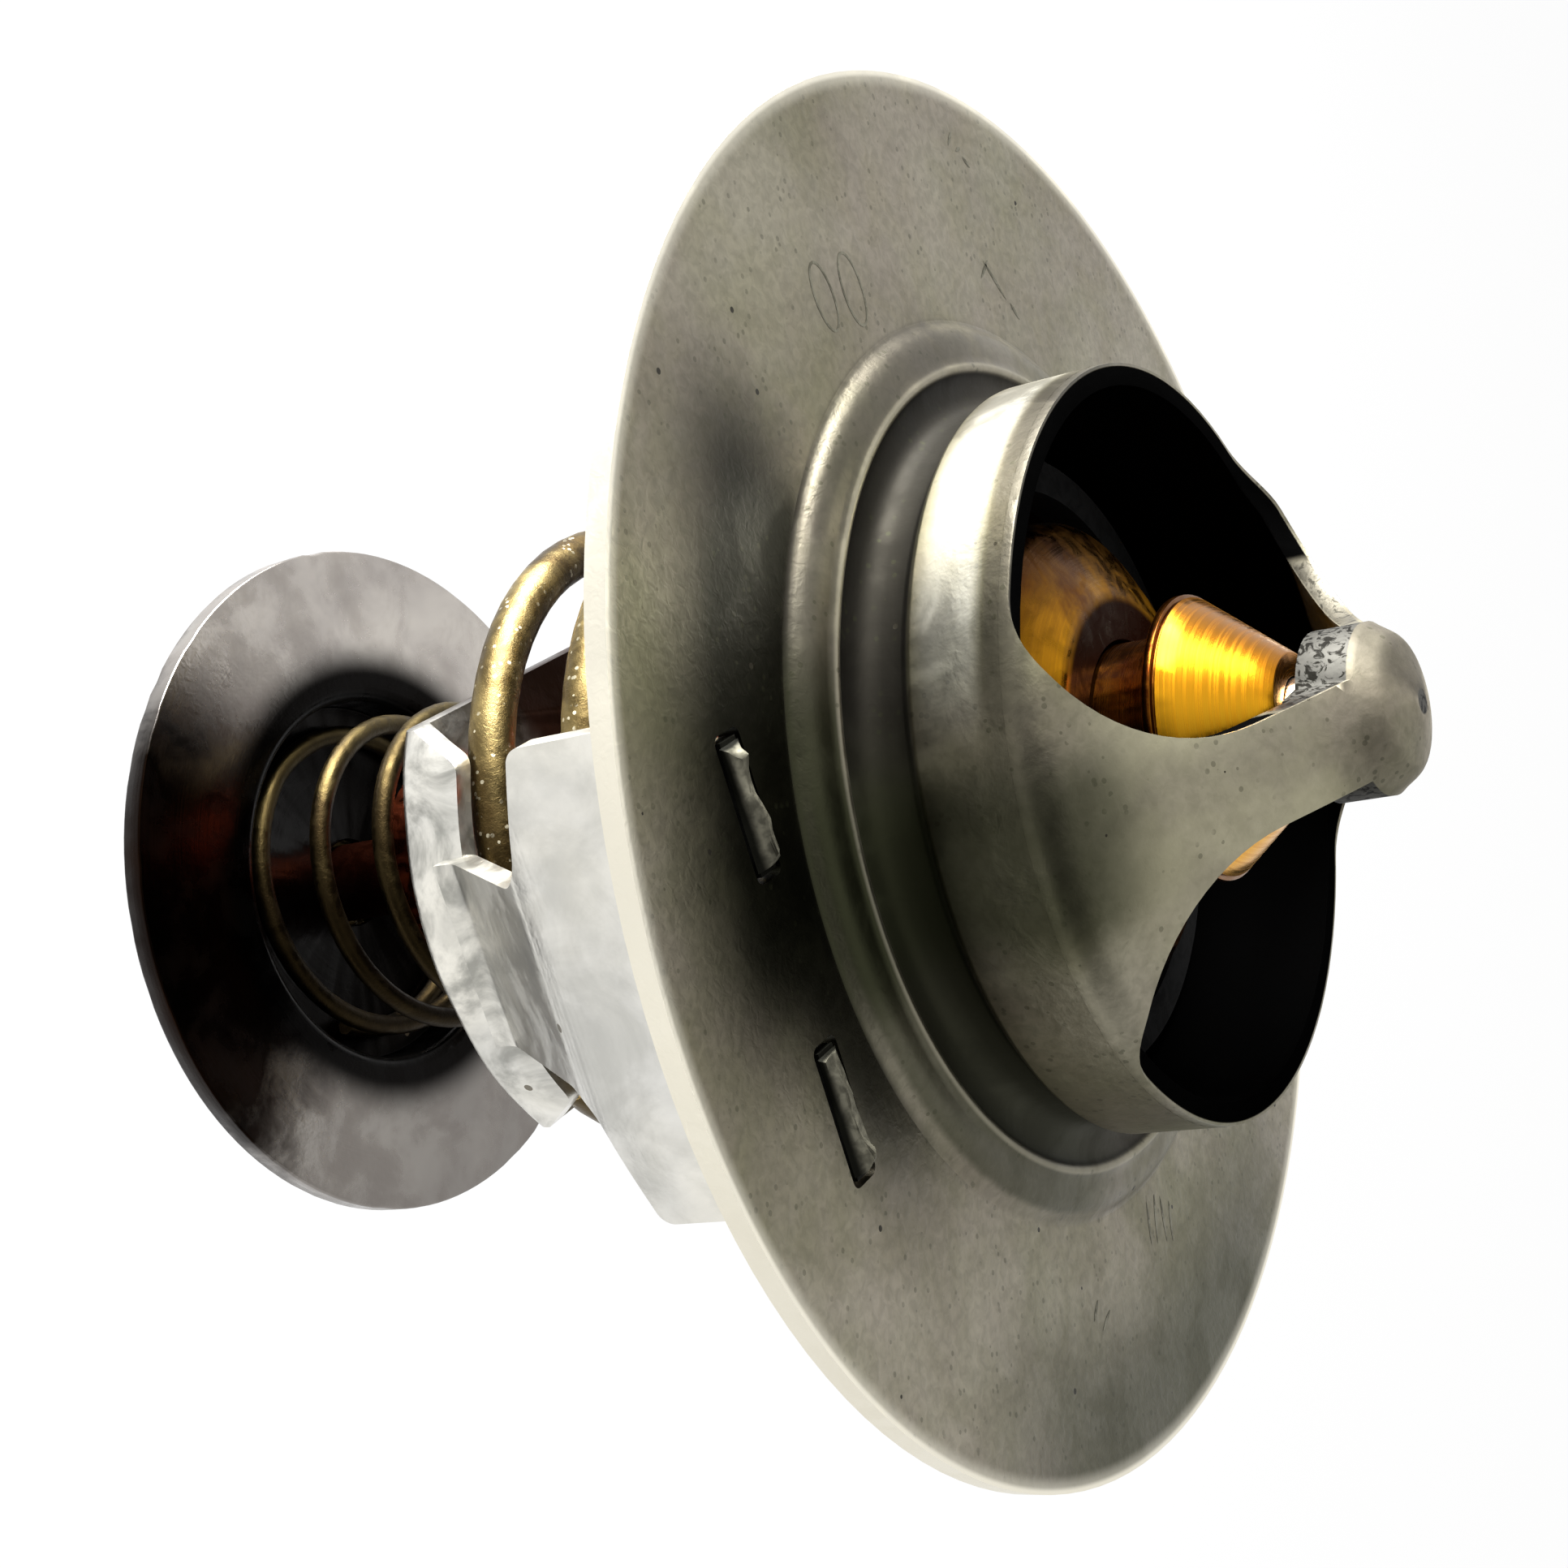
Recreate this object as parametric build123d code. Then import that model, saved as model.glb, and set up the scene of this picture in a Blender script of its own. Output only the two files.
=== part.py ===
from build123d import *
from build123d.topology import SkipClean
import os
from math import ceil, sqrt

# Millimetres. +Z runs along the axis towards the nose, and the origin is the centre of the
# flange's underside. The two arms of the bridge and the two legs of the frame lie along X.

# Flange and bead
flange_radius = 33.5
flange_thickness = 1.0
sheet_thickness = 1.0
seat_band_radius = 28.0
bead_ledge_width = 1.35
bead_ledge_height = 0.9
bead_width = 2.15
bead_rise = 1.7
bead_wall = 0.75
press_fillet = 0.3

# Neck and dome
neck_radius = 16.9
neck_height = 2.2
dome_step = 0.8
dome_flare = 0.6
window_sill = 9.25
dome_slope = 0.6
shoulder_fillet = 2.2
nose_height = 20.2
nose_cap_radius = 0.8
nose_shoulder_radius = 3.1
nose_shoulder_drop = 0.65
nose_shoulder_fillet = 1.3
nose_radius = 3.9
nose_root_fillet = 1.2
cone_rise = 0.5
boss_radius = 5.5
boss_length = 0.35

# Windows
window_inset = 2.3
window_corner = 7.4
window_sill_fillet = 1.5
arm_half_width = 2.3

# Piston and its guide
piston_radius = 2.0
piston_running_gap = 0.08
piston_socket_gap = 0.05
piston_socket_depth = 2.7
piston_chamfer = 0.4
guide_tip_height = 14.6
guide_tip_radius = 3.2
guide_cone_foot = 10.4
guide_cone_radius = 6.5
guide_groove_width = 0.15
guide_groove_depth = 0.15
guide_ring_radius = 6.65
guide_ring_height = 0.4
guide_neck_radius = 5.0
plug_length = 2.1
plug_clearance = 0.1
thrust_disc_thickness = 0.5
funnel_radius = 6.5
funnel_height = 1.6
diaphragm_thickness = 0.8

# Wax cup
cup_head_radius = 10.8
cup_head_wall = 1.2
cup_head_floor = 1.0
cup_head_side = 4.0
cup_head_height = 6.2
cup_crimp_radius = 7.6
cup_crimp_wall = 1.1
cup_crimp_gap = 0.2
cup_head_fillet = 1.5
cup_radius = 6.2
cup_lower_radius = 5.9
cup_wall = 0.9
cup_floor = 1.4
cup_bottom = -36.0
cup_bottom_chamfer = 0.8

# Valve plate and seal
plate_thickness = 1.0
plate_step = 0.8
plate_web = 0.6
plate_boss_gap = 0.25
plate_hole_gap = 0.05
seal_face_thickness = 0.5
seal_skirt_thickness = 1.0
seal_lip = 0.3
seal_crest = 1.3
seal_neck_gap = 0.5

# Main spring; both springs' wires are drawn with a few flat sides, to keep the long coils light
wire_sides = 8
main_wire = 2.25
main_rim_margin = 0.725
main_pitch = 5.8
main_near_height = -19.8

# Lower frame
frame_thickness = 1.2
leg_centre = 24.3
leg_half_width = 10.8
leg_side_depth = 9.2
leg_bend_depth = 11.0
leg_corner_fillet = 0.9
leg_bend_fillet = 2.2
strap_half_width = 4.6
strap_shoulder = 2.2
strap_fillet = 2.4
strap_lap = 1.2
base_drop = 24.0
base_thickness = 1.0
base_spring_gap = 0.225
base_half_width = 10.4
base_fillet = 0.9
lip_height = 3.8
lip_thickness = 1.0
lip_taper = 1.8
cup_guide_gap = 0.4
guide_collar_wall = 0.9
guide_collar_height = 2.0
tab_length = 5.6
tab_centre = 6.6
slot_side_gap = 0.35
slot_end_gap = 0.3
slot_fillet = 0.4
peen_height = 0.6
peen_flare = 0.15
peen_end_step = 0.2
peen_chamfer = 0.3

# Bypass valve
collar_drop = 2.2
collar_thickness = 0.8
collar_radius = 9.3
bypass_wire = 0.9
bypass_mean_radius = 8.45
bypass_pitch = 3.6
bypass_near_height = -39.8
disc_drop = 40.1
disc_thickness = 0.9
disc_radius = 18.74
disc_dish = 0.3
well_depth = 2.7
well_radius = 10.2
well_fillet = 0.8
stem_radius = 2.2
stem_foot_radius = 3.6
stem_foot_height = 0.8
stem_running_gap = 0.25
stem_tail = 1.3
stem_chamfer = 0.3
clip_groove_depth = 0.5
clip_thickness = 0.7
clip_radius = 4.2
clip_mouth = 2.6

# Heights and radii that follow from the sizes above
bead_top_radius = neck_radius + bead_width
bead_foot_radius = bead_top_radius + bead_ledge_width
dome_radius = neck_radius + dome_step
bead_top = flange_thickness + bead_rise
seat_height = bead_top - sheet_thickness
neck_top = bead_top + neck_height
neck_inner_radius = neck_radius - sheet_thickness
dome_inner_radius = dome_radius - sheet_thickness
window_half_width = dome_radius - window_inset
slant = sqrt(1 + dome_slope**2)
cone_peak = nose_height + cone_rise
inner_cone_peak = cone_peak - sheet_thickness * slant
boss_foot = inner_cone_peak - dome_slope * boss_radius - boss_length
socket_top = boss_foot + piston_socket_depth

plate_rim_top = seat_height - seal_face_thickness
plate_rim_foot = plate_rim_top - plate_thickness
panel_top = plate_rim_top - plate_step
main_mean_radius = neck_radius - main_rim_margin - main_wire / 2
plate_boss_radius = main_mean_radius - main_wire / 2 - plate_boss_gap

cup_ledge = panel_top + cup_head_floor
cavity_radius = cup_head_radius - cup_head_wall
cavity_side = panel_top + cup_head_side - cup_crimp_wall / 2
cavity_top = panel_top + cup_head_height - cup_crimp_wall
crimp_inner_radius = cup_crimp_radius - cup_crimp_wall / 2
cup_bore = cup_lower_radius - cup_wall
guide_foot = cup_ledge + diaphragm_thickness
bore_radius = piston_radius + piston_running_gap
plug_foot = guide_foot + funnel_height + plug_clearance
plug_top = plug_foot + plug_length
piston_foot = plug_top + thrust_disc_thickness

base_top = base_thickness - base_drop
base_radius = main_mean_radius + main_wire / 2 + base_spring_gap + lip_thickness
lip_top = lip_height - base_drop
cup_guide_radius = cup_radius + cup_guide_gap

collar_top = -base_drop - collar_drop
collar_foot = collar_top - collar_thickness
disc_face = -disc_drop
well_floor = disc_face - disc_dish - well_depth
well_foot = well_floor - disc_thickness
clip_foot = well_foot - clip_thickness
stem_end = clip_foot - stem_tail
clip_bore = stem_radius - clip_groove_depth


def outline(plane, corners):
    """A closed face from (across, up, fillet) corners."""
    with BuildSketch(plane) as face:
        with BuildLine():
            FilletPolyline(
                *[(across, up) for across, up, _ in corners],
                radius=[fillet_radius for _, _, fillet_radius in corners],
                close=True,
            )
        make_face()
    return face.sketch


def turned(corners):
    """A solid turned about Z from (radius, height, fillet) corners."""
    return revolve(outline(Plane.XZ, corners), axis=Axis.Z)


def ring(outer_radius, inner_radius, low, high):
    """A plain ring between two heights."""
    return turned(
        [
            (inner_radius, low, 0),
            (outer_radius, low, 0),
            (outer_radius, high, 0),
            (inner_radius, high, 0),
        ]
    )


def symmetric_prism(side_corners, reach):
    """A prism along X whose face is the given (y, z, fillet) side and its mirror image."""
    mirrored = [(-y, z, fillet_radius) for y, z, fillet_radius in reversed(side_corners)]
    return extrude(outline(Plane.YZ, side_corners + mirrored), reach, both=True)


def ground_spring(mean_radius, wire, pitch, near_height, low, high):
    """A helical spring with flat ground ends; near_height is where a coil crosses the XZ plane."""
    turns_below = ceil((near_height - low + wire) / pitch)
    start = near_height - turns_below * pitch
    helix = Helix(pitch, high + wire - start, mean_radius, center=(0, 0, start))
    section = RegularPolygon(wire / 2, wire_sides, rotation=180 / wire_sides)
    coil = sweep(Plane(origin=helix @ 0, z_dir=helix % 0) * section, path=helix, is_frenet=True)
    slab = Pos(0, 0, (low + high) / 2) * Cylinder(mean_radius + wire, high - low)
    return coil & slab


def window_punch():
    """The tool shape that cuts one window, on the +Y side."""
    depth = 2 * dome_radius
    with BuildPart() as punch:
        with BuildSketch(Plane.XY.offset(window_sill)):
            with Locations((0, arm_half_width + depth / 2)):
                RectangleRounded(2 * window_half_width, depth, window_corner)
        extrude(amount=nose_height)
        fillet(punch.edges().group_by(Axis.Z)[0], window_sill_fillet)
    return punch.part


def flange_bridge():
    """Flange, bead, neck and windowed dome, pressed from one sheet."""
    body = turned(
        [
            (seat_band_radius, 0, 0),
            (seat_band_radius, flange_thickness, 0),
            (bead_foot_radius, flange_thickness, 0),
            (bead_foot_radius, flange_thickness + bead_ledge_height, 0),
            (bead_top_radius, flange_thickness + bead_ledge_height, 0),
            (bead_top_radius, bead_top, press_fillet),
            (neck_radius, bead_top, 0),
            (neck_radius, neck_top, 0),
            (dome_radius, neck_top + dome_flare, 0),
            (dome_radius, cone_peak - dome_slope * dome_radius, shoulder_fillet),
            (nose_radius, cone_peak - dome_slope * nose_radius, nose_root_fillet),
            (nose_shoulder_radius, nose_height - nose_shoulder_drop, nose_shoulder_fillet),
            (nose_cap_radius, nose_height, nose_shoulder_fillet),
            (0, nose_height, 0),
            (0, socket_top, 0),
            (piston_radius + piston_socket_gap, socket_top, 0),
            (piston_radius + piston_socket_gap, boss_foot, 0),
            (boss_radius, boss_foot, 0),
            (boss_radius, inner_cone_peak - dome_slope * boss_radius, 0),
            (
                dome_inner_radius,
                inner_cone_peak - dome_slope * dome_inner_radius,
                shoulder_fillet - sheet_thickness,
            ),
            (dome_inner_radius, neck_top + 1.5 * dome_flare, 0),
            (neck_inner_radius, neck_top + dome_flare / 2, 0),
            (neck_inner_radius, seat_height, 0),
            (bead_top_radius - bead_wall, seat_height, 0),
            (bead_top_radius - bead_wall, flange_thickness, 0),
            (bead_foot_radius - sheet_thickness, 0, 0),
        ]
    )
    nose_bar = Pos(0, 0, nose_height) * Cylinder(nose_radius, 2 * nose_height)
    punch = window_punch() - nose_bar
    body -= punch
    body -= mirror(punch, Plane.XZ)
    slot_width = frame_thickness + 2 * slot_side_gap
    slot_length = tab_length + 2 * slot_end_gap
    with BuildPart() as slot:
        Box(slot_width, slot_length, 3 * flange_thickness)
        fillet(slot.edges().filter_by(Axis.Z), slot_fillet)
    for side_x in (-1, 1):
        for side_y in (-1, 1):
            body -= Pos(side_x * leg_centre, side_y * tab_centre, 0) * slot.part
    # The outer band, where the housing and its cover clamp the flange, keeps faces of its own
    with SkipClean():
        return body + ring(flange_radius, seat_band_radius, 0, flange_thickness)


def lower_frame():
    """Two legs and the spring base, pressed from one strap, with the tabs peened over."""
    outer = leg_centre + frame_thickness / 2
    inner = leg_centre - frame_thickness / 2
    foot = base_radius - lip_thickness + frame_thickness
    strap = extrude(
        outline(
            Plane.XZ,
            [
                (outer, 0, 0),
                (outer, -leg_bend_depth, leg_bend_fillet + frame_thickness),
                (foot, lip_top, leg_bend_fillet),
                (foot, lip_top - strap_lap, 0),
                (foot - frame_thickness, lip_top - strap_lap, 0),
                (foot - frame_thickness, lip_top + frame_thickness / 4, leg_bend_fillet),
                (inner, frame_thickness / 4 - leg_bend_depth, leg_bend_fillet),
                (inner, 0, 0),
            ],
        ),
        leg_half_width,
        both=True,
    )
    strap &= symmetric_prism(
        [
            (leg_half_width, 0, 0),
            (leg_half_width, -leg_side_depth, leg_corner_fillet),
            (strap_half_width, -leg_side_depth - strap_shoulder, strap_fillet),
            (strap_half_width, -base_drop, 0),
        ],
        leg_centre + leg_half_width,
    )
    base = turned(
        [
            (cup_guide_radius, -base_drop, 0),
            (base_radius, -base_drop, base_fillet),
            (base_radius, lip_top, 0),
            (base_radius - lip_thickness, lip_top, 0),
            (base_radius - lip_thickness, base_top, 0),
            (cup_guide_radius + guide_collar_wall, base_top, 0),
            (cup_guide_radius + guide_collar_wall, base_top + guide_collar_height, 0),
            (cup_guide_radius, base_top + guide_collar_height, 0),
        ]
    )
    base &= symmetric_prism(
        [
            (base_half_width - lip_taper, lip_top, lip_taper / 2),
            (base_half_width, base_top, 0),
            (base_half_width, -base_drop, 0),
        ],
        base_radius,
    )
    standing = (Align.CENTER, Align.CENTER, Align.MIN)
    tab = Box(frame_thickness, tab_length, flange_thickness, align=standing)
    peen_width = frame_thickness + 2 * peen_flare
    peen_length = tab_length - 2 * peen_end_step
    peen = Box(peen_width, peen_length, peen_height, align=standing)
    peen = chamfer(peen.edges().group_by(Axis.Z)[-1], peen_chamfer)
    peened_tab = tab + Pos(0, 0, flange_thickness) * peen
    frame = base + strap + mirror(strap, Plane.YZ)
    for side_x in (-1, 1):
        for side_y in (-1, 1):
            frame += Pos(side_x * leg_centre, side_y * tab_centre, 0) * peened_tab
    return frame


def piston():
    """The steel rod between the wax element and the nose."""
    return turned(
        [
            (0, piston_foot, 0),
            (piston_radius, piston_foot, 0),
            (piston_radius, socket_top - piston_chamfer, 0),
            (piston_radius - piston_chamfer, socket_top, 0),
            (0, socket_top, 0),
        ]
    )


def piston_guide():
    """The turned guide: a flange inside the cup's head, a neck and the cone above it."""
    ring_foot = guide_cone_foot - guide_groove_width - guide_ring_height
    return turned(
        [
            (funnel_radius, guide_foot, 0),
            (cavity_radius, guide_foot, 0),
            (cavity_radius, cavity_side, 0),
            (crimp_inner_radius, cavity_top, 0),
            (guide_neck_radius, cavity_top, 0),
            (guide_neck_radius, ring_foot, 0),
            (guide_ring_radius, ring_foot, 0),
            (guide_ring_radius, ring_foot + guide_ring_height, 0),
            (guide_cone_radius - guide_groove_depth, ring_foot + guide_ring_height, 0),
            (guide_cone_radius - guide_groove_depth, guide_cone_foot, 0),
            (guide_cone_radius, guide_cone_foot, 0),
            (guide_tip_radius, guide_tip_height, 0),
            (bore_radius, guide_tip_height, 0),
            (bore_radius, guide_foot + funnel_height, 0),
        ]
    )


def wax_cup():
    """The drawn cup, its wide head crimped over the guide's flange."""
    return turned(
        [
            (0, cup_bottom, 0),
            (cup_lower_radius - cup_bottom_chamfer, cup_bottom, 0),
            (cup_lower_radius, cup_bottom + cup_bottom_chamfer, 0),
            (cup_lower_radius, collar_top, 0),
            (cup_radius, collar_top, 0),
            (cup_radius, panel_top, 0),
            (cup_head_radius, panel_top, 0),
            (cup_head_radius, panel_top + cup_head_side, cup_head_fillet),
            (cup_crimp_radius, panel_top + cup_head_height, cup_head_fillet),
            (guide_neck_radius + cup_crimp_gap, panel_top + cup_head_height, 0),
            (guide_neck_radius + cup_crimp_gap, cavity_top, 0),
            (crimp_inner_radius, cavity_top, 0),
            (cavity_radius, cavity_side, 0),
            (cavity_radius, cup_ledge, 0),
            (cup_bore, cup_ledge, 0),
            (cup_bore, cup_bottom + cup_floor, 0),
            (0, cup_bottom + cup_floor, 0),
        ]
    )


def wax_charge():
    """The wax that fills the cup below the diaphragm."""
    return turned(
        [
            (0, cup_bottom + cup_floor, 0),
            (cup_bore, cup_bottom + cup_floor, 0),
            (cup_bore, cup_ledge, 0),
            (0, cup_ledge, 0),
        ]
    )


def diaphragm():
    """The rubber disc clamped between the cup's ledge and the guide."""
    return turned(
        [
            (0, cup_ledge, 0),
            (cavity_radius, cup_ledge, 0),
            (cavity_radius, guide_foot, 0),
            (0, guide_foot, 0),
        ]
    )


def rubber_plug():
    """The plug that carries the wax's push to the piston."""
    return turned(
        [
            (0, plug_foot, 0),
            (piston_radius, plug_foot, 0),
            (piston_radius, plug_top, 0),
            (0, plug_top, 0),
        ]
    )


def thrust_disc():
    """The hard disc between the plug and the piston."""
    return turned(
        [
            (0, plug_top, 0),
            (piston_radius, plug_top, 0),
            (piston_radius, piston_foot, 0),
            (0, piston_foot, 0),
        ]
    )


def valve_plate():
    """The stamped disc under the cup's head, stepped down to centre the main spring."""
    hole_radius = cup_radius + plate_hole_gap
    recess_radius = plate_boss_radius - plate_web
    return turned(
        [
            (hole_radius, panel_top - plate_thickness, 0),
            (plate_boss_radius, panel_top - plate_thickness, 0),
            (plate_boss_radius, plate_rim_foot, 0),
            (neck_radius, plate_rim_foot, 0),
            (neck_radius, plate_rim_top, 0),
            (recess_radius, plate_rim_top, 0),
            (recess_radius, panel_top, 0),
            (hole_radius, panel_top, 0),
        ]
    )


def valve_seal():
    """The moulded rubber ring over the plate's rim."""
    inner_radius = plate_boss_radius - plate_web
    outer_radius = neck_radius + seal_skirt_thickness
    crest_radius = neck_inner_radius - seal_neck_gap
    lip_radius = main_mean_radius + main_wire / 2 + plate_boss_gap
    return turned(
        [
            (inner_radius, plate_rim_top, 0),
            (neck_radius, plate_rim_top, 0),
            (neck_radius, plate_rim_foot, 0),
            (lip_radius, plate_rim_foot, 0),
            (lip_radius, plate_rim_foot - seal_lip, 0),
            (outer_radius, plate_rim_foot - seal_lip, 0),
            (outer_radius, seat_height, 0),
            (crest_radius, seat_height, 0),
            (crest_radius - seal_crest / 2, seat_height + seal_crest, 0),
            (inner_radius, seat_height + seal_crest, 0),
        ]
    )


def main_spring():
    """The strong spring that closes the valve."""
    return ground_spring(
        main_mean_radius, main_wire, main_pitch, main_near_height, base_top, plate_rim_foot
    )


def bypass_stem():
    """The rod brazed to the cup's end, grooved for its clip."""
    return turned(
        [
            (0, stem_end, 0),
            (stem_radius - stem_chamfer, stem_end, 0),
            (stem_radius, stem_end + stem_chamfer, 0),
            (stem_radius, clip_foot, 0),
            (clip_bore, clip_foot, 0),
            (clip_bore, well_foot, 0),
            (stem_radius, well_foot, 0),
            (stem_radius, cup_bottom - stem_foot_height, 0),
            (stem_foot_radius, cup_bottom - stem_foot_height, 0),
            (stem_foot_radius, cup_bottom, 0),
            (0, cup_bottom, 0),
        ]
    )


def spring_collar():
    """The washer against the cup's step that holds the bypass spring's upper end."""
    return ring(collar_radius, cup_lower_radius, collar_foot, collar_top)


def bypass_spring():
    """The light spring that lets the bypass disc give way."""
    return ground_spring(
        bypass_mean_radius, bypass_wire, bypass_pitch, bypass_near_height, well_floor, collar_foot
    )


def bypass_disc():
    """The pressed disc that closes the bypass port, with a well for its spring."""
    hole_radius = stem_radius + stem_running_gap
    seat_foot = disc_face - disc_dish - disc_thickness
    return turned(
        [
            (hole_radius, well_foot, 0),
            (well_radius, well_foot, 0),
            (well_radius + disc_thickness, well_foot + disc_thickness, 0),
            (well_radius + disc_thickness, seat_foot, 0),
            (disc_radius, seat_foot, 0),
            (disc_radius, disc_face, 0),
            (well_radius, disc_face - disc_dish, well_fillet),
            (well_radius, well_floor, 0),
            (hole_radius, well_floor, 0),
        ]
    )


def stem_clip():
    """The open clip in the stem's groove."""
    clip = ring(clip_radius, clip_bore, clip_foot, well_foot)
    mouth = Pos(clip_radius, 0, (clip_foot + well_foot) / 2)
    return clip - mouth * Box(2 * clip_radius, clip_mouth, 2 * clip_thickness)


pieces = {
    "flange_bridge": flange_bridge,
    "lower_frame": lower_frame,
    "piston": piston,
    "thrust_disc": thrust_disc,
    "rubber_plug": rubber_plug,
    "piston_guide": piston_guide,
    "wax_cup": wax_cup,
    "wax_charge": wax_charge,
    "diaphragm": diaphragm,
    "valve_plate": valve_plate,
    "valve_seal": valve_seal,
    "main_spring": main_spring,
    "bypass_stem": bypass_stem,
    "spring_collar": spring_collar,
    "bypass_spring": bypass_spring,
    "bypass_disc": bypass_disc,
    "stem_clip": stem_clip,
}

os.makedirs("parts", exist_ok=True)
for name, make in pieces.items():
    export_step(make(), f"parts/{name}.step")
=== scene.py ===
import bpy
import bmesh
import math
from mathutils import Matrix, Vector, noise


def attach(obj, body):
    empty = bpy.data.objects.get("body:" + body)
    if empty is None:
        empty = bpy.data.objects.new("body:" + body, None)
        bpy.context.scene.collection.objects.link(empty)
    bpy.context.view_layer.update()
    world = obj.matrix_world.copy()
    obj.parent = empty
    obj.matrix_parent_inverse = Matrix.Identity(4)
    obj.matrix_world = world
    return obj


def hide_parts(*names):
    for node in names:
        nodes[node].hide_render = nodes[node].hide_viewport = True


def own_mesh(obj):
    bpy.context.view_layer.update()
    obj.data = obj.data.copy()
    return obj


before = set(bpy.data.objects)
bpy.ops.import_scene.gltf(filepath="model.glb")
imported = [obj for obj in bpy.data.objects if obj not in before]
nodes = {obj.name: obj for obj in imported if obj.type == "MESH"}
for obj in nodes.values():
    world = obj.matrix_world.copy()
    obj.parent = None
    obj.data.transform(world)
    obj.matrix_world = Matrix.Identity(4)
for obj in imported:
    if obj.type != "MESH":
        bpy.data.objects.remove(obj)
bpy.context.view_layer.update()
print("frame loaded")

mm = 0.001


def newGroup(name, inputs, outputs):
    group = bpy.data.node_groups.new(name, "ShaderNodeTree")
    for label, kind, value in inputs:
        socket = group.interface.new_socket(label, in_out="INPUT", socket_type=kind)
        socket.default_value = value
    for label in outputs:
        group.interface.new_socket(label, in_out="OUTPUT", socket_type="NodeSocketFloat")
    return group, group.nodes.new("NodeGroupInput"), group.nodes.new("NodeGroupOutput")


def addNode(tree, kind, settings=None, **values):
    node = tree.nodes.new(kind)
    for key, value in (settings or {}).items():
        setattr(node, key, value)
    for key, value in values.items():
        node.inputs[key].default_value = value
    return node


def feed(value, socket):
    if isinstance(value, bpy.types.NodeSocket):
        socket.id_data.links.new(value, socket)
    elif isinstance(value, tuple):
        socket.default_value = (*value, 1)
    else:
        socket.default_value = value


# The new node joins the tree of whichever value is a socket
def addBeside(kind, *values):
    tree = next(value.id_data for value in values if isinstance(value, bpy.types.NodeSocket))
    return tree.nodes.new(kind)


def maths(operation, first, second=None, clamp=False):
    node = addBeside("ShaderNodeMath", first, second)
    node.operation = operation
    node.use_clamp = clamp
    feed(first, node.inputs[0])
    if second is not None:
        feed(second, node.inputs[1])
    return node.outputs[0]


def times(first, *others):
    for other in others:
        first = maths("MULTIPLY", first, other)
    return first


def span(value, low, high, outLow=0.0, outHigh=1.0):
    node = addBeside("ShaderNodeMapRange", value)
    node.interpolation_type = "SMOOTHSTEP"
    feed(value, node.inputs["Value"])
    for key, number in (("From Min", low), ("From Max", high), ("To Min", outLow), ("To Max", outHigh)):
        node.inputs[key].default_value = number
    return node.outputs["Result"]


# As span, with the first two limits in millimetres
def band(value, limits):
    low, high, *out = limits
    return span(value, low * mm, high * mm, *out)


def pick(switch, first, second):
    node = addBeside("ShaderNodeMix", switch)
    for index, value in ((0, switch), (2, first), (3, second)):
        feed(value, node.inputs[index])
    return node.outputs[0]


def blend(factor, first, second):
    node = addBeside("ShaderNodeMix", factor, first, second)
    node.data_type = "RGBA"
    for index, value in ((0, factor), (6, first), (7, second)):
        feed(value, node.inputs[index])
    return node.outputs[2]


def makeBlotchGroup():
    size = {
        "Broad": {"factor": 1, "detail": 4, "limits": (0.34, 0.66)},
        "Small": {"factor": 4.5, "detail": 5, "limits": (0.36, 0.68)},
        "Grain": {"factor": 34, "detail": 2, "limits": (0.2, 0.8)},
    }
    inputs = [
        ("Size", "NodeSocketFloat", 90.0), ("Warp", "NodeSocketFloat", 1.5),
        ("Shift", "NodeSocketVector", (0, 0, 0)),
    ]
    group, source, sink = newGroup("blotches", inputs, list(size))
    coords = group.nodes.new("ShaderNodeTexCoord")
    shift = addNode(group, "ShaderNodeVectorMath", {"operation": "ADD"})
    feed(coords.outputs["Object"], shift.inputs[0])
    feed(source.outputs["Shift"], shift.inputs[1])
    for label, layer in size.items():
        field = addNode(group, "ShaderNodeTexNoise", Detail=layer["detail"], Roughness=0.6)
        feed(shift.outputs[0], field.inputs["Vector"])
        feed(times(source.outputs["Size"], layer["factor"]), field.inputs["Scale"])
        feed(source.outputs["Warp"], field.inputs["Distortion"])
        feed(span(field.outputs[0], *layer["limits"]), sink.inputs[label])
    return group


def makePitGroup():
    inputs = [
        ("Size", "NodeSocketFloat", 600.0), ("Reach", "NodeSocketFloat", 0.12),
        ("Share", "NodeSocketFloat", 0.82),
    ]
    group, source, sink = newGroup("pits", inputs, ["Mask"])
    coords = group.nodes.new("ShaderNodeTexCoord")
    cells = addNode(group, "ShaderNodeTexVoronoi", Randomness=1.0)
    feed(coords.outputs["Object"], cells.inputs["Vector"])
    feed(source.outputs["Size"], cells.inputs["Scale"])
    near = maths("LESS_THAN", cells.outputs["Distance"], source.outputs["Reach"])
    split = group.nodes.new("ShaderNodeSeparateColor")
    feed(cells.outputs["Color"], split.inputs[0])
    few = maths("GREATER_THAN", split.outputs[0], source.outputs["Share"])
    feed(times(near, few), sink.inputs["Mask"])
    return group


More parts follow.
